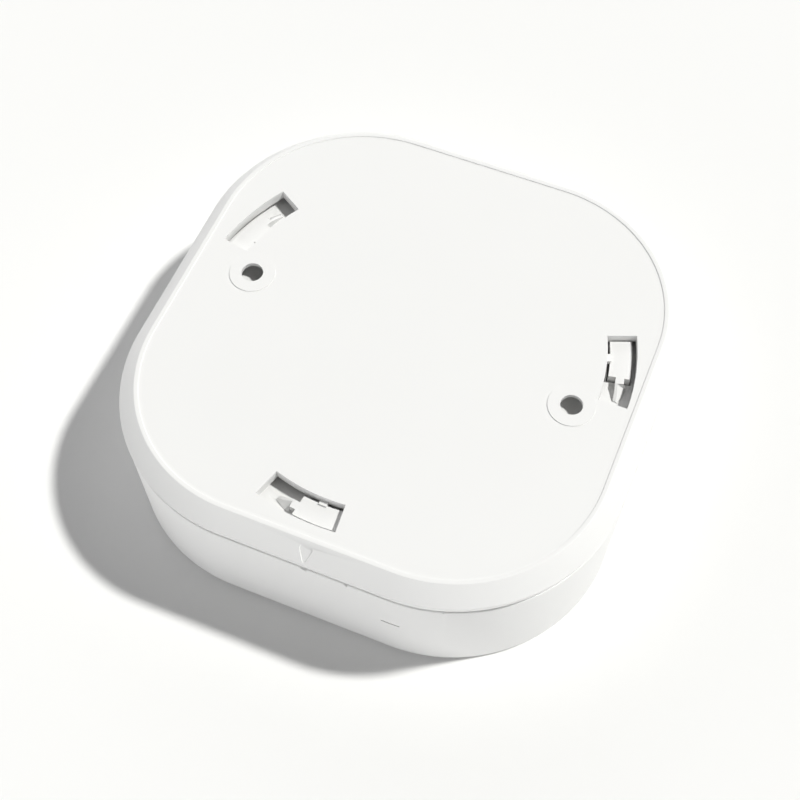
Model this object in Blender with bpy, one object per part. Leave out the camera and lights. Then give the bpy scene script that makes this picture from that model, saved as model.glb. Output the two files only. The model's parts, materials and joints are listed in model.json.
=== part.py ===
"""Ceiling smoke detector, lying on its front face with the ceiling side up.

World frame: metres, +Z up, the front face on z = 0, X and Y along the sides of the rounded square.
The dimensions below are in millimetres.
"""

import math

import bpy
import bmesh

MM = 0.001

# Outlines: every rounded square is an offset of the same one, so they share their corner centres.
OUTER_HALF = 60.0
CORNER_INSET = 20.0
CORNER_STEPS = 10

# Mounting plate
RIM_TOP = 35.4
RIM_HALF = 56.0
RIM_WIDTH = 1.0
FACE_TOP = 35.15
PLATE_UNDER = 32.6
LIP_TOP = 31.15
LIP_BOTTOM = 29.05
LIP_INNER_HALF = 57.6
LIP_UNDERCUT = 0.35
CHAMFER_SLOPE = (RIM_TOP - LIP_TOP) / (OUTER_HALF - RIM_HALF)

# Bayonet: hooks of the plate, in openings of the rear cover
PIVOT = (0.57, 0.93)
HOOK_ANGLES = (11.3, 159.4, 263.9)
TWIST_DEG = 9.1
WINDOW_RADII = (46.1, 53.0)
WINDOW_HALF_DEG = 10.9
FOOT_RADII = (46.9, 51.95)
FOOT_DEG = (-1.1, 10.45)
FOOT_TOP = 33.2
TOE_BOTTOM = 27.3
GAP = 0.3

# Ceiling screws
SCREW_HOLES = ((-41.0, 3.3), (41.65, -2.6))
SCREW_HOLE_RADIUS = 2.6
PAD_RADIUS = 5.5
COUNTERBORE_RADIUS = 5.0
COUNTERBORE_TOP = 34.3
COLLAR_RADII = (4.4, 6.0)

# Body
WALL_TOP = 28.75
BODY_HALF = 59.8
FOOTPRINT_HALF = 59.2
WALL_INNER_HALF = 57.4
LEDGE_HALF = 56.2
LEDGE_Z = 27.0
SKIN = 2.0
COVER_TOP = 31.1
COVER_SKIN = 1.6
PLATEAU_RADIUS = 55.5
POST_OFFSET = 42.4

# Inner parts
BUTTON_RADIUS = 15.0
BOARD_BOTTOM = 22.2
BOARD_TOP = 23.8
BOARD_RADIUS = 44.0
BOARD_POSTS = ((33.0, 22.0), (-31.0, 27.0), (30.0, -24.0), (-30.0, -24.0))
CHAMBER = (0.0, 33.5)
CHAMBER_RADIUS = 16.0
HORN = (-34.0, 4.0)
CELL_RADIUS = 8.5
CELL_LENGTH = 34.5
CELL_Y = (-46.1, -27.6)
CELL_Z = 13.2
LAMP_X = 17.8

WHITE = (0.84, 0.84, 0.83)
BLACK = (0.02, 0.02, 0.022)
STEEL = (0.62, 0.62, 0.62)


# ---------------------------------------------------------------- outlines and solids


def square_at(half, z):
    """A rounded square at height z, offset from the outer one."""
    inset = CORNER_INSET
    points = []
    for quarter in range(4):
        start = math.radians(90 * quarter)
        centre_x = inset if quarter in (0, 3) else -inset
        centre_y = inset if quarter in (0, 1) else -inset
        for step in range(CORNER_STEPS + 1):
            angle = start + math.radians(90) * step / CORNER_STEPS
            x = centre_x + (half - inset) * math.cos(angle)
            y = centre_y + (half - inset) * math.sin(angle)
            points.append((x, y, z))
    return points


def circle_at(radius, z, centre=(0.0, 0.0), steps=32):
    points = []
    for step in range(steps):
        angle = math.tau * step / steps
        points.append((centre[0] + radius * math.cos(angle), centre[1] + radius * math.sin(angle), z))
    return points


def polar(radius, degrees, z):
    """A point about the bayonet's pivot."""
    angle = math.radians(degrees)
    return (PIVOT[0] + radius * math.cos(angle), PIVOT[1] + radius * math.sin(angle), z)


def lofted(sections, ring=False):
    """Joins outlines of equal length; the ends are capped unless the sections close on themselves."""
    count = len(sections[0])
    points = [point for section in sections for point in section]
    faces = []
    for index in range(len(sections) if ring else len(sections) - 1):
        low = index * count
        high = (index + 1) % len(sections) * count
        for step in range(count):
            after = (step + 1) % count
            faces.append((low + step, low + after, high + after, high + step))
    if not ring:
        faces.append(tuple(range(count))[::-1])
        faces.append(tuple(range(len(points) - count, len(points))))
    return points, faces


def turned(profile, centre=(0.0, 0.0), steps=32, ring=False):
    return lofted([circle_at(radius, z, centre, steps) for radius, z in profile], ring)


def rod(radius, bottom, top, centre=(0.0, 0.0), steps=24):
    return turned([(radius, bottom), (radius, top)], centre, steps)


def tube(inner, outer, bottom, top, centre=(0.0, 0.0), steps=32):
    profile = [(inner, bottom), (outer, bottom), (outer, top), (inner, top)]
    return turned(profile, centre, steps, ring=True)


def prism(outline, bottom, top):
    return lofted([[(x, y, z) for x, y in outline] for z in (bottom, top)])


def box(low, high):
    outline = [(low[0], low[1]), (high[0], low[1]), (high[0], high[1]), (low[0], high[1])]
    return prism(outline, low[2], high[2])


def arc_block(radii, degrees, heights, steps=8):
    """A block between two radii and two angles about the pivot."""
    outline = []
    for radius, order in ((radii[1], range(steps + 1)), (radii[0], range(steps, -1, -1))):
        for step in order:
            angle = degrees[0] + (degrees[1] - degrees[0]) * step / steps
            outline.append(polar(radius, angle, 0)[:2])
    return prism(outline, heights[0], heights[1])


def spun(shell, degrees):
    """A shell turned about the world's Z axis."""
    cos = math.cos(math.radians(degrees))
    sin = math.sin(math.radians(degrees))
    points, faces = shell
    return [(x * cos - y * sin, x * sin + y * cos, z) for x, y, z in points], faces


def laid_along_x(shell, y, z):
    """A shell made about Z, laid with that axis along X at the given y and z."""
    points, faces = shell
    return [(along, y + across, z + up) for across, up, along in points], faces


def moved(shell, x, y, z=0.0):
    points, faces = shell
    return [(px + x, py + y, pz + z) for px, py, pz in points], faces


def together(shells):
    points = []
    faces = []
    for shell_points, shell_faces in shells:
        start = len(points)
        points.extend(shell_points)
        faces.extend(tuple(start + index for index in face) for face in shell_faces)
    return points, faces


# ---------------------------------------------------------------- objects


def add_object(name, shell, origin=(0.0, 0.0, 0.0)):
    points, faces = shell
    mesh = bpy.data.meshes.new(name)
    local = [tuple((value - start) * MM for value, start in zip(point, origin)) for point in points]
    mesh.from_pydata(local, [], faces)
    work = bmesh.new()
    work.from_mesh(mesh)
    bmesh.ops.recalc_face_normals(work, faces=work.faces)
    work.to_mesh(mesh)
    work.free()
    mesh.shade_smooth()
    mesh.set_sharp_from_angle(angle=math.radians(30))
    made = bpy.data.objects.new(name, mesh)
    made.location = [value * MM for value in origin]
    bpy.context.scene.collection.objects.link(made)
    return made


def finish(made, colour, roughness, metallic=0.0):
    surface = bpy.data.materials.new(made.name + "_finish")
    surface.use_nodes = True
    shader = surface.node_tree.nodes["Principled BSDF"]
    shader.inputs["Base Color"].default_value = (*colour, 1.0)
    shader.inputs["Roughness"].default_value = roughness
    shader.inputs["Metallic"].default_value = metallic
    surface.diffuse_color = (*colour, 1.0)
    made.data.materials.append(surface)
    return made


def combine(target, label, operation, shells):
    """Adds a Boolean of hidden helper shells, which don't overlap each other."""
    helper = add_object(f"{target.name}_{label}", together(shells))
    helper.hide_render = True
    helper.display_type = "WIRE"
    step = target.modifiers.new(label, "BOOLEAN")
    step.object = helper
    step.operation = operation
    step.solver = "EXACT"


def fuse(target, label, shells):
    combine(target, label, "UNION", shells)


def cut(target, label, shells):
    combine(target, label, "DIFFERENCE", shells)


# ---------------------------------------------------------------- mounting plate


def tongue(angle):
    """A level stub beside the foot, then a ramp down to the rear cover whose outer half also falls outwards."""
    under = COVER_TOP + GAP
    stub = FOOT_TOP - 0.05
    stations = (
        ((48.65, 0.5), (50.3, 0.5), (50.6, 0.5), stub, stub),
        ((48.7, -2.9), (50.4, -2.9), (50.7, -2.9), stub, stub),
        ((48.7, -3.1), (49.3, -3.1), (50.75, -3.1), stub - 0.05, 31.95),
        ((48.9, -5.0), (49.6, -5.15), (50.75, -5.3), 32.35, 31.7),
        ((49.1, -7.1), (49.7, -7.4), (50.15, -7.6), under + 0.2, under + 0.1),
    )
    sections = []
    for inner, ridge, outer, top, outer_top in stations:
        corners = ((inner, under), (outer, under), (outer, outer_top), (ridge, top), (inner, top))
        sections.append([polar(radius, angle + relative, z) for (radius, relative), z in corners])
    return lofted(sections)


def triangle_outline(corner_radius):
    """A small triangle with round corners, which points down the chamfer."""
    outline = []
    for centre, start, end in (((-0.5, -57.4), 90, 216), ((0.7, -59.05), 216, 336), ((1.45, -57.4), -24, 90)):
        for step in range(3 + 1):
            angle = math.radians(start + (end - start) * step / 3)
            x = centre[0] + corner_radius * math.cos(angle)
            outline.append((x, centre[1] + corner_radius * math.sin(angle)))
    return outline


def triangle_mark():
    """A cutter for the shallow triangle: sloped sides, and a floor parallel to the chamfer."""
    sections = []
    for corner_radius, lift in ((0.4, -0.3), (0.55, 0.0), (0.65, 1.0)):
        outline = triangle_outline(corner_radius)
        sections.append([(x, y, RIM_TOP - (-y - RIM_HALF) * CHAMFER_SLOPE + lift) for x, y in outline])
    return lofted(sections)


def make_mounting_plate():
    inner_rim = RIM_HALF - RIM_WIDTH
    under_half = LIP_INNER_HALF - 1.71
    lip_inner_top = LIP_TOP - 0.37
    sections = [
        square_at(under_half, PLATE_UNDER),
        square_at(LIP_INNER_HALF, lip_inner_top),
        square_at(LIP_INNER_HALF, LIP_BOTTOM),
        square_at(OUTER_HALF - LIP_UNDERCUT, LIP_BOTTOM),
        square_at(OUTER_HALF, LIP_TOP),
        square_at(RIM_HALF, RIM_TOP),
        square_at(inner_rim, RIM_TOP),
        square_at(inner_rim, FACE_TOP),
    ]
    plate = add_object("mounting_plate", lofted(sections), origin=(*PIVOT, PLATE_UNDER))
    fuse(plate, "pads", [rod(PAD_RADIUS, 34.0, RIM_TOP, at, 40) for at in SCREW_HOLES])
    fuse(plate, "collar", [rod(COLLAR_RADII[1], COVER_TOP + GAP, 33.0, SCREW_HOLES[1], 32)])
    window_deg = (-WINDOW_HALF_DEG, WINDOW_HALF_DEG)
    cut(plate, "windows", [arc(WINDOW_RADII, window_deg, (30.0, 38.0), at) for at in HOOK_ANGLES])
    cut(plate, "screw_holes", [rod(SCREW_HOLE_RADIUS, 30.0, 38.0, at, 32) for at in SCREW_HOLES])
    recesses = zip((COUNTERBORE_RADIUS, COLLAR_RADII[0]), SCREW_HOLES)
    cut(plate, "counterbores", [rod(radius, 30.0, COUNTERBORE_TOP, at, 32) for radius, at in recesses])
    cut(plate, "triangle", [triangle_mark()])
    fuse(plate, "feet", [arc(FOOT_RADII, FOOT_DEG, (TOE_BOTTOM, FOOT_TOP), at) for at in HOOK_ANGLES])
    fuse(plate, "bridges", [arc((45.6, 47.3), (3.5, 5.9), (32.4, 33.6), at, 2) for at in HOOK_ANGLES])
    fuse(plate, "webs", [arc((47.5, 51.5), (9.4, 14.0), (31.4, 31.9), at, 3) for at in HOOK_ANGLES])
    fuse(plate, "risers", [arc((47.7, 51.3), (12.5, 13.8), (31.6, 33.1), at, 2) for at in HOOK_ANGLES])
    toe_heights = (TOE_BOTTOM + 0.2, COVER_TOP - COVER_SKIN - GAP)
    fuse(plate, "toes", [arc((47.2, 51.8), (-9.5, -1.0), toe_heights, at, 5) for at in HOOK_ANGLES])
    fuse(plate, "tongues", [tongue(at) for at in HOOK_ANGLES])
    return finish(plate, WHITE, 0.45)


def arc(radii, degrees, heights, at, steps=8):
    """An arc block whose angles are relative to a hook's own angle."""
    return arc_block(radii, (at + degrees[0], at + degrees[1]), heights, steps)


# ---------------------------------------------------------------- body


def corner_posts():
    return [(x, y) for x in (-POST_OFFSET, POST_OFFSET) for y in (-POST_OFFSET, POST_OFFSET)]


def notch(start, end):
    """A cutter for a position mark in the wall's top edge; its floor falls towards +X and outwards."""
    sections = []
    for x, drop in ((start, 0.2), (end, 0.8)):
        floor = WALL_TOP - drop
        sections.append([(x, -61.0, floor - 0.9), (x, -59.1, floor), (x, -59.1, 31.0), (x, -61.0, 31.0)])
    return lofted(sections)


def make_front_housing():
    sections = [
        square_at(FOOTPRINT_HALF - 1.2, 0.0),
        square_at(FOOTPRINT_HALF - 0.5, 0.35),
        square_at(FOOTPRINT_HALF, 1.2),
        square_at(BODY_HALF, WALL_TOP - 0.4),
        square_at(BODY_HALF - 0.4, WALL_TOP),
        square_at(WALL_INNER_HALF, WALL_TOP),
        square_at(WALL_INNER_HALF, LEDGE_Z),
        square_at(LEDGE_HALF, LEDGE_Z),
        square_at(LEDGE_HALF, SKIN),
    ]
    housing = add_object("front_housing", lofted(sections))
    posts = [rod(4.0, SKIN - 1.0, 24.9, at, 20) for at in corner_posts()]
    posts += [rod(3.0, SKIN - 1.0, BOARD_BOTTOM - GAP, at, 20) for at in BOARD_POSTS]
    fuse(housing, "posts", posts)
    pilots = [rod(1.6, 14.0, 26.0, at, 12) for at in corner_posts()]
    pilots += [rod(1.5, 13.0, 23.0, at, 12) for at in BOARD_POSTS]
    cut(housing, "pilots", pilots)
    cut(housing, "button_hole", [rod(17.9, -1.0, 3.0, steps=48)])
    inlet = box((20.6, -0.6, -1.0), (26.4, 0.6, 3.0))
    cut(housing, "inlets", [spun(inlet, 10.0 * index) for index in range(36)])
    grille = []
    for index in range(5):
        x = HORN[0] - 5.6 + 1.0 * index
        grille.append(box((x - 0.3, HORN[1] - 3.0, -1.0), (x + 0.3, HORN[1] + 3.0, 3.0)))
    cut(housing, "grille", grille)
    marks = [notch(-0.15, 1.4), notch(10.1, 11.0)]
    marks.append(box((32.3, -60.0, WALL_TOP - 0.6), (32.9, -57.6, WALL_TOP + 1.0)))
    marks.append(box((18.5, -61.0, 15.3), (22.9, -58.6, 15.7)))
    cut(housing, "marks", marks)
    return finish(housing, WHITE, 0.45)


def make_rear_cover():
    panel_half = WALL_INNER_HALF - GAP
    panel_bottom = LEDGE_Z + GAP
    roof = COVER_TOP - COVER_SKIN
    cover = add_object("rear_cover", lofted([square_at(panel_half, panel_bottom), square_at(panel_half, WALL_TOP)]))
    fuse(cover, "plateau", [rod(PLATEAU_RADIUS, WALL_TOP - 1.0, COVER_TOP, PIVOT, 64)])
    cut(cover, "hollow", [rod(PLATEAU_RADIUS - COVER_SKIN, 25.0, roof, PIVOT, 64)])
    fuse(cover, "bosses", [rod(4.2, 25.2, panel_bottom + 0.5, at, 20) for at in corner_posts()])
    opening_radii = (FOOT_RADII[0] - GAP, FOOT_RADII[1] + GAP)
    opening_deg = (FOOT_DEG[0] - 0.35, FOOT_DEG[1] + TWIST_DEG + 0.4)
    cut(cover, "hook_openings", [arc(opening_radii, opening_deg, (25.0, 33.0), at, 10) for at in HOOK_ANGLES])
    holes = []
    for at in corner_posts():
        holes.append(turned([(1.7, 24.0), (1.7, 26.7), (3.0, 26.7), (3.0, 31.0)], at, 20))
    cut(cover, "screw_holes", holes)
    return finish(cover, WHITE, 0.5)


def make_screw(name, at, head, shank, head_bottom, tip):
    """A pan-head screw with a cross recess, head up. head is its radius and height."""
    radius, height = head
    top = head_bottom + height
    profile = [(0.5, tip), (shank, tip + 1.2), (shank, head_bottom), (radius, head_bottom)]
    profile += [(radius, top - 0.5), (radius - 0.6, top)]
    screw = add_object(name, turned(profile, at, 16), origin=(*at, head_bottom))
    arm = radius * 0.6
    outline = []
    for turn in range(4):
        for x, y in ((arm, -0.35), (arm, 0.35), (0.35, 0.35)):
            for _ in range(turn):
                x, y = -y, x
            outline.append((at[0] + x, at[1] + y))
    cut(screw, "recess", [prism(outline, top - 0.9, top + 1.0)])
    return finish(screw, STEEL, 0.3, 1.0)


# ---------------------------------------------------------------- front parts


def make_test_button():
    flange = 16.4
    profile = [(14.6, 0.3), (BUTTON_RADIUS, 0.7), (BUTTON_RADIUS, 3.6), (flange, 3.6)]
    profile += [(flange, 4.8), (13.0, 4.8), (13.0, 2.1), (3.0, 2.1), (3.0, 14.2)]
    return finish(add_object("test_button", turned(profile, steps=48)), WHITE, 0.4)


def make_light_ring():
    inner = BUTTON_RADIUS + GAP
    profile = [(inner, 0.3), (17.6, 0.3), (17.6, 2.3), (19.2, 2.3), (19.2, 3.3), (inner, 3.3)]
    ring = add_object("light_ring", turned(profile, steps=48, ring=True))
    legs = []
    for side in (-1, 1):
        x = side * LAMP_X
        legs.append(box((x - 0.8, -1.2, 3.0), (x + 0.8, 1.2, 20.6)))
    fuse(ring, "legs", legs)
    return finish(ring, (0.75, 0.78, 0.76), 0.2)


def make_insect_mesh():
    return finish(add_object("insect_mesh", tube(19.8, 27.4, 2.3, 2.8, steps=48)), (0.1, 0.1, 0.1), 0.4, 0.6)


# ---------------------------------------------------------------- electronics


def make_circuit_board():
    board = add_object("circuit_board", rod(BOARD_RADIUS, BOARD_BOTTOM, BOARD_TOP, steps=56))
    cut(board, "holes", [rod(1.7, 21.0, 25.0, at, 12) for at in BOARD_POSTS])
    return finish(board, (0.02, 0.16, 0.07), 0.4)


def make_board_parts():
    above = BOARD_TOP + GAP
    below = BOARD_BOTTOM - GAP
    chip = add_object("microcontroller", box((6.0, -12.0, above), (14.0, -4.0, above + 1.2)))
    finish(chip, BLACK, 0.5)
    radio = add_object("radio_module", box((-24.0, -16.0, above), (-8.0, 4.0, above + 2.2)))
    finish(radio, STEEL, 0.35, 0.9)
    can = turned([(3.6, 10.9), (4.0, 11.4), (4.0, below - 0.8), (3.5, below)], (34.0, -6.0), 24)
    finish(add_object("capacitor", can), (0.06, 0.07, 0.12), 0.35)
    drum = [(4.5, 17.0), (4.5, 18.0), (3.2, 18.4), (3.2, 20.6), (4.5, 21.0), (4.5, below)]
    finish(add_object("inductor", turned(drum, (36.0, 8.0), 24)), (0.25, 0.1, 0.04), 0.4)
    for name, side in (("status_led", 1), ("alarm_led", -1)):
        x = side * LAMP_X
        lamp = add_object(name, box((x - 1.6, -1.0, below - 1.0), (x + 1.6, 1.0, below)))
        finish(lamp, (0.8, 0.8, 0.7), 0.3)


def make_switch():
    below = BOARD_BOTTOM - GAP
    body = add_object("switch_body", box((-6.0, -6.0, 17.4), (6.0, 6.0, below)))
    cut(body, "plunger_hole", [rod(2.1, 16.0, 20.2, steps=20)])
    finish(body, BLACK, 0.5)
    plunger = add_object("switch_plunger", rod(1.8, 14.5, 19.2, steps=20))
    finish(plunger, (0.5, 0.45, 0.35), 0.5)


def make_chamber():
    lid = [(15.2, 4.0), (CHAMBER_RADIUS, 4.8), (CHAMBER_RADIUS, 6.0), (14.8, 6.0), (14.8, 5.2)]
    finish(add_object("chamber_lid", turned(lid, CHAMBER)), BLACK, 0.6)
    vanes = add_object("chamber_vanes", tube(9.0, 14.3, 13.0, 14.0, CHAMBER))
    blade = prism([(9.2, -1.6), (11.6, 0.9), (14.0, -0.9), (14.0, 0.1), (11.6, 1.9), (9.2, -0.6)], 5.5, 13.4)
    blades = [moved(spun(blade, 30.0 * index), *CHAMBER) for index in range(12)]
    fuse(vanes, "blades", blades)
    finish(vanes, BLACK, 0.6)
    base_top = BOARD_BOTTOM - GAP
    base = add_object("chamber_base", rod(CHAMBER_RADIUS, 14.3, base_top, CHAMBER, 32))
    cut(base, "cavity", [rod(9.5, 13.0, 19.8, CHAMBER, 28)])
    bore = laid_along_x(rod(2.8, 6.0, 18.0, steps=16), 0.0, 17.4)
    optics = {"infrared_led": -35.0, "photodiode": 215.0}
    cut(base, "bores", [moved(spun(bore, angle), *CHAMBER) for angle in optics.values()])
    finish(base, BLACK, 0.6)
    lens = [(1.0, 9.0), (2.1, 9.5), (2.5, 10.6), (2.5, 15.4)]
    for name, angle in optics.items():
        shell = moved(spun(laid_along_x(turned(lens, steps=16), 0.0, 17.4), angle), *CHAMBER)
        finish(add_object(name, shell), (0.15, 0.12, 0.2), 0.15)


def make_horn():
    cup = [(2.5, 3.1), (13.0, 3.1), (13.0, 13.0), (11.9, 13.0), (11.9, 6.4), (10.4, 6.4), (10.4, 4.3), (2.5, 4.3)]
    finish(add_object("horn_housing", turned(cup, HORN, ring=True)), BLACK, 0.5)
    finish(add_object("horn_disc", rod(11.6, 6.7, 7.1, HORN, 32)), (0.7, 0.5, 0.2), 0.3, 1.0)
    lid = [(11.6, 12.7), (11.6, 7.4), (9.8, 7.4), (9.8, 11.5)]
    finish(add_object("horn_lid", turned(lid, HORN)), BLACK, 0.5)


# ---------------------------------------------------------------- power


def make_cradle():
    low = (-20.7, CELL_Y[0] - 9.7, 3.6)
    high = (20.7, CELL_Y[1] + 9.7, 14.5)
    cradle = add_object("battery_cradle", box(low, high))
    room = CELL_RADIUS + GAP
    for index, y in enumerate(CELL_Y):
        cut(cradle, f"trough_{index}", [laid_along_x(rod(room, -19.5, 19.5, steps=28), y, CELL_Z)])
        cut(cradle, f"mouth_{index}", [box((-19.5, y - room, CELL_Z), (19.5, y + room, 16.0))])
    finish(cradle, (0.6, 0.6, 0.58), 0.5)


def make_cells():
    half = CELL_LENGTH / 2
    wide = CELL_RADIUS
    profile = [(3.0, -half), (3.0, 1.0 - half), (wide - 0.3, 1.0 - half), (wide, 1.3 - half)]
    profile += [(wide, half - 0.3), (wide - 0.3, half)]
    for index, y in enumerate(CELL_Y):
        ends = profile if index == 0 else [(radius, -along) for radius, along in profile]
        cell = laid_along_x(turned(ends, steps=28), y, CELL_Z)
        finish(add_object(f"battery_{index + 1}", cell), (0.1, 0.2, 0.45), 0.3)


def make_contacts():
    """A plate at each end: one bridges the cells at +X, and plus and minus are separate at -X."""
    plate_from, plate_to = 18.8, 19.2
    spring = [(3.6, 19.0), (2.2, 17.6)]
    for name, y, sprung in (("contact_plus", CELL_Y[0], False), ("contact_minus", CELL_Y[1], True)):
        low = (-plate_to, y - 5.0, 8.0)
        contact = add_object(name, box(low, (-plate_from, y + 5.0, 18.0)))
        mirrored = [(radius, -along) for radius, along in spring] if sprung else [(2.0, -19.0), (2.0, -17.6)]
        fuse(contact, "boss", [laid_along_x(turned(mirrored, steps=16), y, CELL_Z)])
        finish(contact, STEEL, 0.3, 1.0)
    bridge = add_object("contact_bridge", box((plate_from, CELL_Y[0] - 5.0, 15.0), (plate_to, CELL_Y[1] + 5.0, 18.0)))
    drops = [box((plate_from + 0.05, y - 4.0, 9.0), (plate_to - 0.05, y + 4.0, 16.0)) for y in CELL_Y]
    fuse(bridge, "drops", drops)
    bosses = [laid_along_x(turned(spring, steps=16), CELL_Y[0], CELL_Z)]
    bosses.append(laid_along_x(rod(2.0, 17.6, 19.0, steps=16), CELL_Y[1], CELL_Z))
    fuse(bridge, "bosses", bosses)
    finish(bridge, STEEL, 0.3, 1.0)


# ---------------------------------------------------------------- build


def main():
    for old in list(bpy.data.objects):
        bpy.data.objects.remove(old, do_unlink=True)
    make_mounting_plate()
    make_front_housing()
    make_rear_cover()
    make_test_button()
    make_light_ring()
    make_insect_mesh()
    make_circuit_board()
    make_board_parts()
    make_switch()
    make_chamber()
    make_horn()
    make_cradle()
    make_cells()
    make_contacts()
    for index, at in enumerate(corner_posts()):
        make_screw(f"cover_screw_{index + 1}", at, (2.7, 1.7), 1.3, 27.0, 15.0)
    for index, at in enumerate(BOARD_POSTS):
        make_screw(f"board_screw_{index + 1}", at, (2.5, 1.6), 1.2, BOARD_TOP + GAP, 14.0)


main()
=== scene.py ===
"""Looks of the ceiling smoke detector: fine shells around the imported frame, materials, light and camera.

The shapes are worked out in millimetres in the frame's own axes and turned into metres when a mesh is made.
"""

import json
import math

import bmesh
import bpy
from mathutils import Matrix, Vector


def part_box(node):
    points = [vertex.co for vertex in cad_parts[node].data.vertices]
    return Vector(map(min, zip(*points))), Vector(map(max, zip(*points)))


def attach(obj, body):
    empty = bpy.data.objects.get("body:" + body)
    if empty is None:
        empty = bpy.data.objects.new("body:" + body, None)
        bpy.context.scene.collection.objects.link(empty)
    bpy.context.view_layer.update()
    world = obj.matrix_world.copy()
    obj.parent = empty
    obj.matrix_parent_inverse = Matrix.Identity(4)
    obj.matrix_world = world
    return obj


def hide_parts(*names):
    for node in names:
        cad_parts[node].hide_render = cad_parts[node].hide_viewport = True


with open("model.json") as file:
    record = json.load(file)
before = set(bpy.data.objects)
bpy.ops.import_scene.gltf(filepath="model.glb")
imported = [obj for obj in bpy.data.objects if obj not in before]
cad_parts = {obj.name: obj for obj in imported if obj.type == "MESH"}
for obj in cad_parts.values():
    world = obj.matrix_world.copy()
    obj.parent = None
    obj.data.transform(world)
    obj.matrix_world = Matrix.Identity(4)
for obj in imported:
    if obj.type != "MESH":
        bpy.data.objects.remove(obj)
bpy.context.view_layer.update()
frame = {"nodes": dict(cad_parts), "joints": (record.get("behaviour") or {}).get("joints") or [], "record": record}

MM = 0.001


def extent(node):
    """The lowest and highest corners of a node, in millimetres."""
    low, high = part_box(node)
    return low / MM, high / MM


PLATE_LOW, PLATE_HIGH = extent("mounting_plate")
HOUSING_HIGH = extent("front_housing")[1]
COVER_HIGH = extent("rear_cover")[1]
BUTTON_LOW, BUTTON_HIGH = extent("test_button")
RING_LOW, RING_HIGH = extent("light_ring")
LED_LOW, LED_HIGH = extent("status_led")
TWIST = next(joint for joint in frame["joints"] if joint["name"] == "plate_twist")
PIVOT = (TWIST["pos_m"][0] / MM, TWIST["pos_m"][1] / MM)

# Outlines: every rounded square is an offset of the plate's outer one.
OUTER_HALF = PLATE_HIGH.x
CORNER_INSET = OUTER_HALF / 3
CORNER_STEPS = 40

# Mounting plate
RIM_TOP = PLATE_HIGH.z
RIM_HALF = OUTER_HALF - 4.0
RIM_WIDTH = 1.0
FACE_TOP = RIM_TOP - 0.25
PLATE_UNDER = RIM_TOP - 2.8
LIP_TOP = RIM_TOP - 4.25
LIP_BOTTOM = HOUSING_HIGH.z + 0.45
LIP_INNER_HALF = OUTER_HALF - 2.4
LIP_UNDERCUT = 0.35
CHAMFER_SLOPE = (RIM_TOP - LIP_TOP) / (OUTER_HALF - RIM_HALF)

# Bayonet
HOOK_ANGLES = (11.3, 159.4, 263.9)
TWIST_DEG = TWIST["range_deg"][1]
WINDOW_RADII = (46.1, 53.0)
WINDOW_HALF_DEG = 10.9
FOOT_RADII = (46.9, 51.95)
FOOT_DEG = (-1.1, 10.45)
FOOT_TOP = RIM_TOP - 2.2
TOE_BOTTOM = PLATE_LOW.z
TOE_RADII = (47.2, 51.8)
TOE_DEG = (-9.5, -1.0)
BRIDGE_RADII = (45.6, 47.3)
BRIDGE_DEG = (3.5, 5.9)
BRIDGE_HEIGHTS = (32.4, 33.6)
WEB_RADII = (47.5, 51.5)
WEB_DEG = (9.4, 14.0)
WEB_HEIGHTS = (31.4, 31.9)
RISER_RADII = (47.7, 51.3)
RISER_DEG = (12.5, 13.8)
RISER_HEIGHTS = (31.6, 33.1)
GAP = 0.3

# Ceiling screws
SCREW_HOLES = ((-41.0, 3.3), (41.65, -2.6))
SCREW_HOLE_RADIUS = 2.6
PAD_RADIUS = 5.5
COUNTERBORE_RADIUS = 5.0
COUNTERBORE_TOP = RIM_TOP - 1.1
COLLAR_RADII = (4.4, 6.0)

# Body
WALL_TOP = HOUSING_HIGH.z
BODY_HALF = HOUSING_HIGH.x
FOOTPRINT_HALF = BODY_HALF - 0.6
WALL_INNER_HALF = BODY_HALF - 2.4
LEDGE_HALF = WALL_INNER_HALF - 1.2
LEDGE_Z = COVER_HIGH.z - 4.1
SKIN = 2.0
COVER_TOP = COVER_HIGH.z
COVER_SKIN = 1.6
PLATEAU_RADIUS = 55.5
HORN = (-34.0, 4.0)

# Front parts
FRONT_CUT = (-1.0, 3.0)
RING_OPENING = 17.9
SLOT_COUNT = 36
SLOT_SPAN = (21.2, 25.8)
SLOT_HALF_WIDTH = 0.6
GRILLE_COUNT = 5
GRILLE_START = HORN[0] - 5.6
GRILLE_PITCH = 1.0
GRILLE_HALF_WIDTH = 0.3
GRILLE_HALF_LENGTH = 3.0
BUTTON_RADIUS = 15.0
LAMP_X = (LED_LOW.x + LED_HIGH.x) / 2


# ---------------------------------------------------------------- outlines


def square_at(half, z):
    """A rounded square at height z, offset from the outer one."""
    points = []
    for quarter in range(4):
        centre_x = CORNER_INSET if quarter in (0, 3) else -CORNER_INSET
        centre_y = CORNER_INSET if quarter in (0, 1) else -CORNER_INSET
        for step in range(CORNER_STEPS + 1):
            angle = math.radians(90) * (quarter + step / CORNER_STEPS)
            x = centre_x + (half - CORNER_INSET) * math.cos(angle)
            y = centre_y + (half - CORNER_INSET) * math.sin(angle)
            points.append((x, y, z))
    return points


def circle_at(radius, z, centre=(0.0, 0.0), steps=64):
    points = []
    for step in range(steps):
        angle = math.tau * step / steps
        points.append((centre[0] + radius * math.cos(angle), centre[1] + radius * math.sin(angle), z))
    return points


def polar(radius, degrees, z):
    """A point about the bayonet's pivot."""
    angle = math.radians(degrees)
    return (PIVOT[0] + radius * math.cos(angle), PIVOT[1] + radius * math.sin(angle), z)


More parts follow.
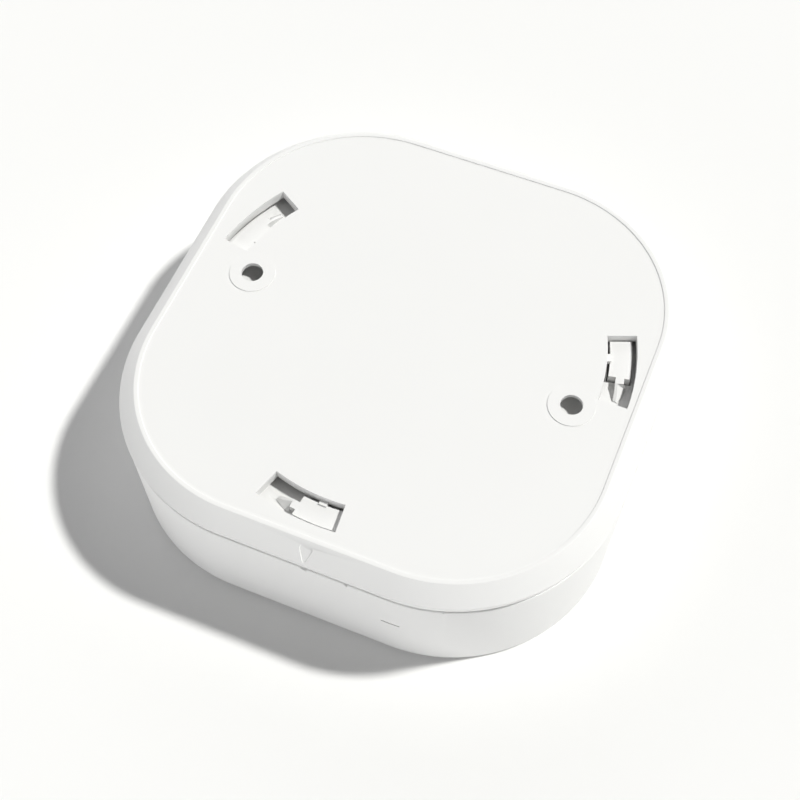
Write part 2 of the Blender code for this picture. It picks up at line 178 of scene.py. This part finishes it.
def filleted(corners, steps=3):
    """A profile of (distance, height, fillet radius) corners; a corner with a radius becomes an arc."""
    profile = []
    for index, (x, z, radius) in enumerate(corners):
        if radius == 0 or index in (0, len(corners) - 1):
            profile.append((x, z))
            continue
        here = Vector((x, z))
        back = (Vector(corners[index - 1][:2]) - here).normalized()
        ahead = (Vector(corners[index + 1][:2]) - here).normalized()
        half_angle = back.angle(ahead) / 2
        reach = radius / math.tan(half_angle)
        centre = here + (back + ahead).normalized() * radius / math.sin(half_angle)
        start = here + back * reach - centre
        end = here + ahead * reach - centre
        sweep = start.angle_signed(end)
        for step in range(steps + 1):
            turned_by = Matrix.Rotation(-sweep * step / steps, 2)
            profile.append(tuple(centre + turned_by @ start))
    return profile


# ---------------------------------------------------------------- solids


def lofted(sections, ring=False):
    """Joins outlines of equal length; the ends are capped unless the sections close on themselves."""
    count = len(sections[0])
    points = [point for section in sections for point in section]
    faces = []
    for index in range(len(sections) if ring else len(sections) - 1):
        low = index * count
        high = (index + 1) % len(sections) * count
        for step in range(count):
            after = (step + 1) % count
            faces.append((low + step, low + after, high + after, high + step))
    if not ring:
        faces.append(tuple(range(count))[::-1])
        faces.append(tuple(range(len(points) - count, len(points))))
    return points, faces


def turned(profile, centre=(0.0, 0.0), steps=64, ring=False):
    return lofted([circle_at(radius, z, centre, steps) for radius, z in profile], ring)


def rod(radius, bottom, top, centre=(0.0, 0.0), steps=64):
    return turned([(radius, bottom), (radius, top)], centre, steps)


def prism(outline, bottom, top):
    return lofted([[(x, y, z) for x, y in outline] for z in (bottom, top)])


def box(low, high):
    outline = [(low[0], low[1]), (high[0], low[1]), (high[0], high[1]), (low[0], high[1])]
    return prism(outline, low[2], high[2])


def arc_outline(radii, degrees, steps):
    outline = []
    for radius, order in ((radii[1], range(steps + 1)), (radii[0], range(steps, -1, -1))):
        for step in order:
            angle = degrees[0] + (degrees[1] - degrees[0]) * step / steps
            outline.append(polar(radius, angle, 0)[:2])
    return outline


def arc(radii, degrees, heights, at, steps=20):
    """A block between two radii and two angles; the angles are relative to a hook's own angle."""
    outline = arc_outline(radii, (at + degrees[0], at + degrees[1]), steps)
    return prism(outline, heights[0], heights[1])


def spun(shell, degrees):
    """A shell turned about the world's Z axis."""
    cos = math.cos(math.radians(degrees))
    sin = math.sin(math.radians(degrees))
    points, faces = shell
    return [(x * cos - y * sin, x * sin + y * cos, z) for x, y, z in points], faces


def together(shells):
    points = []
    faces = []
    for shell_points, shell_faces in shells:
        start = len(points)
        points.extend(shell_points)
        faces.extend(tuple(start + index for index in face) for face in shell_faces)
    return points, faces


# ---------------------------------------------------------------- pieces


def new_mesh_object(name, shell):
    points, faces = shell
    mesh = bpy.data.meshes.new(name)
    mesh.from_pydata([tuple(value * MM for value in point) for point in points], [], faces)
    work = bmesh.new()
    work.from_mesh(mesh)
    bmesh.ops.recalc_face_normals(work, faces=work.faces)
    work.to_mesh(mesh)
    work.free()
    made = bpy.data.objects.new(name, mesh)
    bpy.context.scene.collection.objects.link(made)
    return made


def bake_modifiers(target):
    """Replaces the object's mesh by its evaluated one."""
    graph = bpy.context.evaluated_depsgraph_get()
    mesh = bpy.data.meshes.new_from_object(target.evaluated_get(graph))
    target.modifiers.clear()
    target.data = mesh
    return target


def combine(target, operation, shells):
    """A Boolean with helper shells, which don't overlap each other, applied at once."""
    helper = new_mesh_object("helper", together(shells))
    step = target.modifiers.new(operation, "BOOLEAN")
    step.object = helper
    step.operation = operation
    step.solver = "EXACT"
    bake_modifiers(target)
    bpy.data.objects.remove(helper, do_unlink=True)
    return target


def fuse(target, shells):
    return combine(target, "UNION", shells)


def cut(target, shells):
    return combine(target, "DIFFERENCE", shells)


def round_edges(target, width=0.12, segments=2, angle=35):
    """Small moulded radii on the edges that the Booleans left, then smooth shading."""
    work = bmesh.new()
    work.from_mesh(target.data)
    bmesh.ops.remove_doubles(work, verts=work.verts, dist=0.002 * MM)
    bmesh.ops.dissolve_degenerate(work, edges=work.edges, dist=0.002 * MM)
    work.to_mesh(target.data)
    work.free()
    step = target.modifiers.new("edges", "BEVEL")
    step.width = width * MM
    step.segments = segments
    step.limit_method = "ANGLE"
    step.angle_limit = math.radians(angle)
    step.miter_outer = "MITER_ARC"
    step.harden_normals = True
    target.data.shade_smooth()
    bake_modifiers(target)
    return target


def show(piece, body, material, replaced=()):
    piece.data.materials.clear()
    piece.data.materials.append(material)
    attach(piece, body)
    if replaced:
        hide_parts(*replaced)
    return piece


# ---------------------------------------------------------------- materials


def node_material(name):
    """A new material; returns it with its nodes, links and Principled shader."""
    material = bpy.data.materials.new(name)
    material.use_nodes = True
    tree = material.node_tree
    return material, tree.nodes, tree.links, tree.nodes["Principled BSDF"]


def object_coordinates(nodes):
    return nodes.new("ShaderNodeTexCoord").outputs["Object"]


def noise(nodes, links, scale, detail=2.0, roughness=0.5):
    texture = nodes.new("ShaderNodeTexNoise")
    texture.inputs["Scale"].default_value = scale
    texture.inputs["Detail"].default_value = detail
    texture.inputs["Roughness"].default_value = roughness
    links.new(object_coordinates(nodes), texture.inputs["Vector"])
    return texture.outputs["Fac"]


def ranged(nodes, links, value, low, high):
    """Maps a 0 to 1 value to low to high."""
    mapped = nodes.new("ShaderNodeMapRange")
    mapped.inputs["To Min"].default_value = low
    mapped.inputs["To Max"].default_value = high
    links.new(value, mapped.inputs["Value"])
    return mapped.outputs["Result"]


def mixed(nodes, links, factor, first, second):
    blend = nodes.new("ShaderNodeMix")
    blend.data_type = "RGBA"
    blend.inputs["A"].default_value = (*first, 1.0)
    blend.inputs["B"].default_value = (*second, 1.0)
    links.new(factor, blend.inputs["Factor"])
    return blend.outputs["Result"]


def bumped(nodes, links, shader, height, strength, distance):
    bump = nodes.new("ShaderNodeBump")
    bump.inputs["Strength"].default_value = strength
    bump.inputs["Distance"].default_value = distance
    links.new(height, bump.inputs["Height"])
    links.new(bump.outputs["Normal"], shader.inputs["Normal"])


def plastic(name, first, second, roughness, grain_scale=2500.0, grain=0.05):
    """Moulded plastic: two close tones in a slow drift, uneven roughness and a fine spark-eroded grain."""
    material, nodes, links, shader = node_material(name)
    drift = noise(nodes, links, 35.0, detail=3.0)
    links.new(mixed(nodes, links, drift, first, second), shader.inputs["Base Color"])
    patchy = noise(nodes, links, 120.0, detail=4.0)
    links.new(ranged(nodes, links, patchy, roughness[0], roughness[1]), shader.inputs["Roughness"])
    fine = noise(nodes, links, grain_scale, detail=2.0)
    bumped(nodes, links, shader, fine, grain, 0.02 * MM)
    return material


def metal(name, first, second, roughness, stretch=(1.0, 1.0, 1.0)):
    """Sheet or plated metal with fine drawn streaks along one axis."""
    material, nodes, links, shader = node_material(name)
    mapping = nodes.new("ShaderNodeMapping")
    mapping.inputs["Scale"].default_value = stretch
    links.new(object_coordinates(nodes), mapping.inputs["Vector"])
    streaks = nodes.new("ShaderNodeTexNoise")
    streaks.inputs["Scale"].default_value = 900.0
    streaks.inputs["Detail"].default_value = 3.0
    links.new(mapping.outputs["Vector"], streaks.inputs["Vector"])
    links.new(mixed(nodes, links, streaks.outputs["Fac"], first, second), shader.inputs["Base Color"])
    shader.inputs["Metallic"].default_value = 1.0
    rough = ranged(nodes, links, streaks.outputs["Fac"], roughness[0], roughness[1])
    links.new(rough, shader.inputs["Roughness"])
    bumped(nodes, links, shader, streaks.outputs["Fac"], 0.1, 0.02 * MM)
    return material


def woven(name, wire, opening_shade, pitch=0.5):
    """Wire cloth: two crossed sets of round wires, pitch apart in millimetres; the openings between them are
    painted near-black as painted shade of the interior behind.
    """
    material, nodes, links, shader = node_material(name)
    sets = []
    for axis in ("X", "Y"):
        wave = nodes.new("ShaderNodeTexWave")
        wave.bands_direction = axis
        wave.inputs["Scale"].default_value = math.tau / (20.0 * pitch * MM)
        links.new(object_coordinates(nodes), wave.inputs["Vector"])
        sets.append(wave.outputs["Fac"])
    upper = nodes.new("ShaderNodeMath")
    upper.operation = "MAXIMUM"
    for source, socket in zip(sets, upper.inputs):
        links.new(source, socket)
    covered = nodes.new("ShaderNodeMapRange")
    covered.inputs["From Min"].default_value = 0.45
    covered.inputs["From Max"].default_value = 0.6
    links.new(upper.outputs["Value"], covered.inputs["Value"])
    # painted shade: where no wire covers, the colour is the near-black opening shade instead of a real opening
    links.new(mixed(nodes, links, covered.outputs["Result"], opening_shade, wire), shader.inputs["Base Color"])
    links.new(covered.outputs["Result"], shader.inputs["Metallic"])
    shader.inputs["Roughness"].default_value = 0.35
    bumped(nodes, links, shader, upper.outputs["Value"], 0.6, 0.1 * MM)
    return material


# ---------------------------------------------------------------- mounting plate


def tongue(at):
    """A level stub beside the foot, then a ramp to the rear cover whose outer half also falls outwards."""
    under = COVER_TOP + 0.08
    stations = (
        ((48.65, 0.5), (50.2, 0.5), (50.6, 0.5), FOOT_TOP, FOOT_TOP),
        ((48.7, -2.8), (50.3, -2.8), (50.7, -2.8), FOOT_TOP, FOOT_TOP),
        ((48.7, -3.0), (49.25, -3.0), (51.15, -3.0), FOOT_TOP - 0.05, under + 0.1),
        ((48.85, -4.2), (49.45, -4.2), (51.05, -4.2), FOOT_TOP - 0.5, under + 0.1),
        ((48.95, -5.6), (49.7, -5.6), (50.75, -5.7), FOOT_TOP - 1.0, under + 0.1),
        ((49.1, -7.3), (49.85, -7.4), (50.2, -7.6), under + 0.2, under + 0.1),
    )
    sections = []
    for inner, ridge, outer, top, outer_top in stations:
        corners = ((inner, under), (outer, under), (outer, outer_top), (ridge, top), (inner, top))
        sections.append([polar(radius, at + relative, z) for (radius, relative), z in corners])
    return lofted(sections)


def triangle_outline(corner_radius):
    """A small triangle with round corners, which points down the chamfer."""
    outline = []
    for centre, start, end in (((-0.5, -57.4), 90, 216), ((0.7, -59.05), 216, 336), ((1.45, -57.4), -24, 90)):
        for step in range(8 + 1):
            angle = math.radians(start + (end - start) * step / 8)
            x = centre[0] + corner_radius * math.cos(angle)
            outline.append((x, centre[1] + corner_radius * math.sin(angle)))
    return outline


def triangle_mark():
    """A cutter for the shallow triangle: sloped sides, and a floor parallel to the chamfer."""
    sections = []
    for corner_radius, lift in ((0.4, -0.3), (0.57, 0.04), (0.65, 1.0)):
        outline = triangle_outline(corner_radius)
        sections.append([(x, y, RIM_TOP - (-y - RIM_HALF) * CHAMFER_SLOPE + lift) for x, y in outline])
    return lofted(sections)


def plate_profile():
    inner_rim = RIM_HALF - RIM_WIDTH
    corners = [
        (LIP_INNER_HALF - 1.71, PLATE_UNDER, 0),
        (LIP_INNER_HALF, LIP_TOP - 0.37, 0.5),
        (LIP_INNER_HALF, LIP_BOTTOM, 0.1),
        (OUTER_HALF - LIP_UNDERCUT, LIP_BOTTOM, 0.1),
        (OUTER_HALF, LIP_TOP, 0.3),
        (RIM_HALF, RIM_TOP, 0.25),
        (inner_rim, RIM_TOP, 0.08),
        (inner_rim, FACE_TOP, 0.06),
        (inner_rim - 1.0, FACE_TOP, 0),
    ]
    return filleted(corners)


def make_plate(material):
    plate = new_mesh_object("plate_shell", lofted([square_at(half, z) for half, z in plate_profile()]))
    fuse(plate, [rod(PAD_RADIUS, FACE_TOP - 1.0, RIM_TOP, at) for at in SCREW_HOLES])
    fuse(plate, [rod(COLLAR_RADII[1], COVER_TOP + GAP, RIM_TOP - 2.4, SCREW_HOLES[1])])
    window_deg = (-WINDOW_HALF_DEG, WINDOW_HALF_DEG)
    cutters = [arc(WINDOW_RADII, window_deg, (30.0, 38.0), at, 24) for at in HOOK_ANGLES]
    cutters += [rod(SCREW_HOLE_RADIUS, 30.0, 38.0, at) for at in SCREW_HOLES]
    cutters.append(triangle_mark())
    cut(plate, cutters)
    recesses = zip((COUNTERBORE_RADIUS, COLLAR_RADII[0]), SCREW_HOLES)
    cut(plate, [rod(radius, 30.0, COUNTERBORE_TOP, at, 60) for radius, at in recesses])
    fuse(plate, [arc(FOOT_RADII, FOOT_DEG, (TOE_BOTTOM, FOOT_TOP), at) for at in HOOK_ANGLES])
    fuse(plate, [tongue(at) for at in HOOK_ANGLES])
    fuse(plate, [arc(BRIDGE_RADII, BRIDGE_DEG, BRIDGE_HEIGHTS, at, 4) for at in HOOK_ANGLES])
    fuse(plate, [arc(WEB_RADII, WEB_DEG, WEB_HEIGHTS, at, 6) for at in HOOK_ANGLES])
    fuse(plate, [arc(RISER_RADII, RISER_DEG, RISER_HEIGHTS, at, 3) for at in HOOK_ANGLES])
    toe_heights = (TOE_BOTTOM + 0.2, COVER_TOP - COVER_SKIN - GAP)
    fuse(plate, [arc(TOE_RADII, TOE_DEG, toe_heights, at, 12) for at in HOOK_ANGLES])
    round_edges(plate)
    return show(plate, "plate", material, ["mounting_plate"])


# ---------------------------------------------------------------- body


def housing_profile():
    corners = [
        (FOOTPRINT_HALF - 6.0, 0.0, 0),
        (FOOTPRINT_HALF, 0.0, 1.0),
        (BODY_HALF, WALL_TOP, 0.4),
        (WALL_INNER_HALF, WALL_TOP, 0.2),
        (WALL_INNER_HALF, LEDGE_Z, 0.1),
        (LEDGE_HALF, LEDGE_Z, 0.2),
        (LEDGE_HALF, SKIN, 0.5),
        (LEDGE_HALF - 3.0, SKIN, 0),
    ]
    return filleted(corners, 4)


def make_housing(material):
    housing = new_mesh_object("housing_shell", lofted([square_at(half, z) for half, z in housing_profile()]))
    cutters = [rod(RING_OPENING, *FRONT_CUT, steps=96)]
    slot_shape = inlet_slot()
    cutters += [spun(slot_shape, 360.0 / SLOT_COUNT * index) for index in range(SLOT_COUNT)]
    cutters += horn_grille()
    cut(housing, cutters)
    cut(housing, position_marks())
    round_edges(housing, 0.15)
    return show(housing, "body", material, ["front_housing"])


def inlet_slot():
    """A radial inlet slot with round ends, on +X."""
    outline = []
    for centre_x, start in ((SLOT_SPAN[1], -90), (SLOT_SPAN[0], 90)):
        for step in range(9):
            angle = math.radians(start + 180 * step / 8)
            x = centre_x + SLOT_HALF_WIDTH * math.cos(angle)
            outline.append((x, SLOT_HALF_WIDTH * math.sin(angle)))
    return prism(outline, *FRONT_CUT)


def horn_grille():
    """A short row of straight sound slots in front of the horn."""
    low_y = HORN[1] - GRILLE_HALF_LENGTH
    high_y = HORN[1] + GRILLE_HALF_LENGTH
    shells = []
    for index in range(GRILLE_COUNT):
        x = GRILLE_START + GRILLE_PITCH * index
        low = (x - GRILLE_HALF_WIDTH, low_y, FRONT_CUT[0])
        shells.append(box(low, (x + GRILLE_HALF_WIDTH, high_y, FRONT_CUT[1])))
    return shells


def notch(start, end):
    """A cutter for a position mark in the wall's top edge; its floor falls towards +X and outwards."""
    sections = []
    for x, drop in ((start, 0.2), (end, 0.8)):
        floor = WALL_TOP - drop
        sections.append([(x, -61.0, floor - 0.9), (x, -59.1, floor), (x, -59.1, 31.0), (x, -61.0, 31.0)])
    return lofted(sections)


def position_marks():
    """The two twist marks under the triangle, a thin notch beyond them and the slit in the wall."""
    marks = [notch(-0.15, 1.4), notch(10.1, 11.0)]
    marks.append(box((32.3, -60.0, WALL_TOP - 0.6), (32.9, -57.6, WALL_TOP + 1.0)))
    marks.append(box((18.5, -61.0, 15.28), (22.9, -58.5, 15.72)))
    return marks


def make_cover(material):
    panel_half = WALL_INNER_HALF - GAP
    panel_bottom = LEDGE_Z + GAP
    roof = COVER_TOP - COVER_SKIN
    panel = lofted([square_at(panel_half, z) for z in (panel_bottom, WALL_TOP)])
    cover = new_mesh_object("cover_shell", panel)
    fuse(cover, [rod(PLATEAU_RADIUS, WALL_TOP - 1.0, COVER_TOP, PIVOT, 128)])
    cut(cover, [rod(PLATEAU_RADIUS - COVER_SKIN, 25.0, roof, PIVOT, 128)])
    opening_radii = (FOOT_RADII[0] - GAP, FOOT_RADII[1] + GAP)
    opening_deg = (FOOT_DEG[0] - 0.35, FOOT_DEG[1] + TWIST_DEG + 0.4)
    cut(cover, [arc(opening_radii, opening_deg, (25.0, 33.0), at) for at in HOOK_ANGLES])
    round_edges(cover)
    return show(cover, "body", material, ["rear_cover"])


# ---------------------------------------------------------------- floor, light, camera


FLOOR_TONES = ((0.90, 0.90, 0.895), (0.91, 0.91, 0.905))
KEY_ELEVATION = 54.9
KEY_AZIMUTH = 31.5
KEY_STRENGTH = 3.0
KEY_TINT = (1.0, 0.998, 0.972)
KEY_ANGLE = 4.2

# Broad soft panels around the table: height band, azimuth in degrees, strength
SKY_PANELS = (
    ("low", -67.0, 2.0),
    ("low", 113.0, 0.4),
    ("low", 203.0, 1.1),
    ("high", 113.0, 1.4),
    ("high", 203.0, 0.8),
)
SKY_TINT = (0.99, 0.992, 1.0)


def make_floor():
    """A wide pale sweep, flat under the object."""
    side = 6000.0
    floor = new_mesh_object("floor", box((-side, -side, -2.0), (side, side, 0.0)))
    floor.location.z = -0.02 * MM
    material, nodes, links, shader = node_material("floor_paper")
    drift = noise(nodes, links, 3.0)
    links.new(mixed(nodes, links, drift, FLOOR_TONES[0], FLOOR_TONES[1]), shader.inputs["Base Color"])
    shader.inputs["Roughness"].default_value = 0.9
    shader.inputs["Specular IOR Level"].default_value = 0.0
    floor.data.materials.append(material)


def calculated(nodes, links, operation, first, second):
    """A math node; each input is a socket or a number."""
    step = nodes.new("ShaderNodeMath")
    step.operation = operation
    for socket, value in zip(step.inputs, (first, second)):
        if isinstance(value, (int, float)):
            socket.default_value = value
        else:
            links.new(value, socket)
    return step.outputs["Value"]


def faded(nodes, links, value, start, end, first, last):
    """A smooth step from first to last while the value goes from start to end."""
    step = nodes.new("ShaderNodeMapRange")
    step.interpolation_type = "SMOOTHSTEP"
    step.inputs["From Min"].default_value = start
    step.inputs["From Max"].default_value = end
    step.inputs["To Min"].default_value = first
    step.inputs["To Max"].default_value = last
    links.new(value, step.inputs["Value"])
    return step.outputs["Result"]


def facing(nodes, links, direction, azimuth):
    """How much a direction points to an azimuth: the square of the cosine, or zero on the far side."""
    flat = nodes.new("ShaderNodeVectorMath")
    flat.operation = "MULTIPLY"
    flat.inputs[1].default_value = (1.0, 1.0, 0.0)
    links.new(direction, flat.inputs[0])
    level = nodes.new("ShaderNodeVectorMath")
    level.operation = "NORMALIZE"
    links.new(flat.outputs["Vector"], level.inputs[0])
    dot = nodes.new("ShaderNodeVectorMath")
    dot.operation = "DOT_PRODUCT"
    turn = math.radians(azimuth)
    dot.inputs[1].default_value = (math.cos(turn), math.sin(turn), 0.0)
    links.new(level.outputs["Vector"], dot.inputs[0])
    positive = calculated(nodes, links, "MAXIMUM", dot.outputs["Value"], 0.0)
    return calculated(nodes, links, "MULTIPLY", positive, positive)


def make_sky():
    """Soft panels low and high around the table, and none overhead."""
    world = bpy.data.worlds.new("studio")
    world.use_nodes = True
    nodes = world.node_tree.nodes
    links = world.node_tree.links
    direction = nodes.new("ShaderNodeTexCoord").outputs["Generated"]
    split = nodes.new("ShaderNodeSeparateXYZ")
    links.new(direction, split.inputs["Vector"])
    height = split.outputs["Z"]
    rising = faded(nodes, links, height, 0.15, 0.45, 0.0, 1.0)
    falling = faded(nodes, links, height, 0.55, 0.85, 1.0, 0.0)
    bands = {
        "low": faded(nodes, links, height, 0.15, 0.45, 1.0, 0.0),
        "high": calculated(nodes, links, "MULTIPLY", rising, falling),
    }
    nodes["Background"].inputs["Color"].default_value = (*SKY_TINT, 1.0)
    total = 0.0
    for band, azimuth, strength in SKY_PANELS:
        panel = calculated(nodes, links, "MULTIPLY", bands[band], facing(nodes, links, direction, azimuth))
        panel = calculated(nodes, links, "MULTIPLY", panel, strength)
        total = calculated(nodes, links, "ADD", panel, total)
    links.new(total, nodes["Background"].inputs["Strength"])
    bpy.context.scene.world = world


def make_light():
    """One hard-edged key from behind on the right, and the sky's panels."""
    key = bpy.data.lights.new("key", "SUN")
    key.energy = KEY_STRENGTH
    key.color = KEY_TINT
    key.angle = math.radians(KEY_ANGLE)
    lamp = bpy.data.objects.new("key", key)
    elevation = math.radians(KEY_ELEVATION)
    azimuth = math.radians(KEY_AZIMUTH)
    flat = math.cos(elevation)
    towards = Vector((flat * math.cos(azimuth), flat * math.sin(azimuth), math.sin(elevation)))
    lamp.rotation_euler = towards.to_track_quat("Z", "Y").to_euler()
    lamp.location = towards * 0.8
    bpy.context.scene.collection.objects.link(lamp)
    make_sky()


# The viewing angle, about the centre of the rim's plane
VIEW_ELEVATION = 59.30
VIEW_AZIMUTH = -22.91
VIEW_ROLL = -0.51
VIEW_OFFSET = (1.29, -14.60, 331.6)
LENS = 64.17
SENSOR = 36.0


def make_camera():
    azimuth = math.radians(VIEW_AZIMUTH)
    elevation = math.radians(VIEW_ELEVATION)
    around = Matrix.Rotation(azimuth, 3, "Z")
    sin, cos = math.sin(elevation), math.cos(elevation)
    tilt = Matrix(((1, 0, 0), (0, -sin, -cos), (0, cos, -sin)))
    roll = Matrix.Rotation(math.radians(VIEW_ROLL), 3, "Z")
    turn = roll @ tilt @ around
    place = turn.transposed() @ -Vector(VIEW_OFFSET) + Vector((0, 0, RIM_TOP))
    camera = bpy.data.cameras.new("camera")
    camera.lens = LENS
    camera.sensor_width = SENSOR
    camera.clip_start = 0.01
    holder = bpy.data.objects.new("camera", camera)
    axes = Matrix((turn[0], -turn[1], -turn[2])).transposed()
    holder.matrix_world = Matrix.Translation(place * MM) @ axes.to_4x4()
    bpy.context.scene.collection.objects.link(holder)
    bpy.context.scene.camera = holder


# ---------------------------------------------------------------- front parts


def make_button(material):
    """The test button: a dished face, a flange behind the ring and a hollow back with a stem."""
    flange = BUTTON_HIGH.x
    front = BUTTON_LOW.z
    flange_top = front + 4.5
    web = front + 1.8
    corners = [
        (0.5, front + 0.55, 0),
        (4.0, front + 0.52, 0),
        (7.5, front + 0.42, 0),
        (10.5, front + 0.24, 0),
        (12.8, front + 0.06, 0),
        (14.2, front, 0.5),
        (BUTTON_RADIUS, front + 0.6, 0.5),
        (BUTTON_RADIUS, front + 3.3, 0.15),
        (flange, front + 3.3, 0.2),
        (flange, flange_top, 0.2),
        (13.0, flange_top, 0.2),
        (13.0, web, 0.4),
        (3.0, web, 0.5),
        (3.0, BUTTON_HIGH.z - 0.4, 0.1),
        (2.6, BUTTON_HIGH.z, 0),
    ]
    button = new_mesh_object("button_cap", turned(filleted(corners), steps=128))
    round_edges(button, 0.1)
    return show(button, "button", material, ["test_button"])


def make_light_guide(material):
    """The ring around the button, with a soft outer edge and two legs that reach the lamps."""
    inner = BUTTON_RADIUS + GAP
    front = RING_LOW.z
    flange = RING_HIGH.x
    corners = [
        (inner, front + 1.4, 0),
        (inner, front, 0.25),
        (17.6, front, 0.5),
        (17.6, front + 2.0, 0.2),
        (flange, front + 2.0, 0.2),
        (flange, front + 3.0, 0.2),
        (inner, front + 3.0, 0.2),
        (inner, front + 2.2, 0),
    ]
    ring = new_mesh_object("light_guide", turned(filleted(corners), steps=128, ring=True))
    legs = []
    for side in (-1, 1):
        x = side * LAMP_X
        legs.append(box((x - 0.8, -1.2, front + 2.7), (x + 0.8, 1.2, RING_HIGH.z)))
    fuse(ring, legs)
    round_edges(ring, 0.1)
    return show(ring, "body", material, ["light_ring"])


# ---------------------------------------------------------------- carried-over nodes


def dress_nodes(looks):
    """Gives every CAD node that stays the material of its slot."""
    for part in frame["record"]["subparts"]:
        node = frame["nodes"][part["node"]]
        node.data.materials.clear()
        node.data.materials.append(looks[part["material_slot"]])


def make_looks():
    white = plastic("white_casing", (0.862, 0.862, 0.856), (0.878, 0.878, 0.872), (0.42, 0.5))
    black = plastic("black_plastic", (0.018, 0.018, 0.02), (0.03, 0.03, 0.032), (0.45, 0.6))
    steel = metal("plated_steel", (0.55, 0.55, 0.54), (0.7, 0.7, 0.69), (0.22, 0.36), (1, 1, 8))
    return {
        "casing": white,
        "button": white,
        "light_guide": plastic("clear_guide", (0.7, 0.74, 0.72), (0.78, 0.8, 0.79), (0.12, 0.2)),
        # the second colour is painted shade in the mesh openings
        "mesh": woven("woven_mesh", (0.42, 0.42, 0.41), (0.012, 0.012, 0.012)),
        "board": plastic("solder_mask", (0.01, 0.12, 0.05), (0.02, 0.18, 0.08), (0.25, 0.4), 600.0, 0.1),
        "black_plastic": black,
        "plunger": plastic("plunger", (0.4, 0.35, 0.27), (0.45, 0.4, 0.3), (0.4, 0.5)),
        "shield": metal("tinned_shield", (0.6, 0.6, 0.58), (0.75, 0.75, 0.73), (0.25, 0.4), (8, 1, 1)),
        "sleeve": plastic("sleeve", (0.03, 0.035, 0.07), (0.04, 0.05, 0.09), (0.25, 0.35)),
        "ferrite": plastic("ferrite", (0.16, 0.06, 0.02), (0.24, 0.1, 0.04), (0.4, 0.6)),
        "lamp": plastic("lamp", (0.55, 0.52, 0.46), (0.62, 0.6, 0.55), (0.1, 0.2)),
        "brass": metal("brass", (0.6, 0.42, 0.14), (0.75, 0.55, 0.22), (0.25, 0.4)),
        "cradle": plastic("cradle", (0.4, 0.4, 0.38), (0.46, 0.46, 0.44), (0.45, 0.55)),
        "cell_wrap": plastic("cell_wrap", (0.03, 0.1, 0.3), (0.05, 0.14, 0.36), (0.2, 0.3)),
        "steel": steel,
    }


# ---------------------------------------------------------------- build


looks = make_looks()
dress_nodes(looks)
make_plate(looks["casing"])
make_housing(looks["casing"])
make_cover(looks["casing"])
make_button(looks["button"])
make_light_guide(looks["light_guide"])
make_floor()
make_light()
make_camera()
bpy.context.scene.view_settings.view_transform = "Standard"
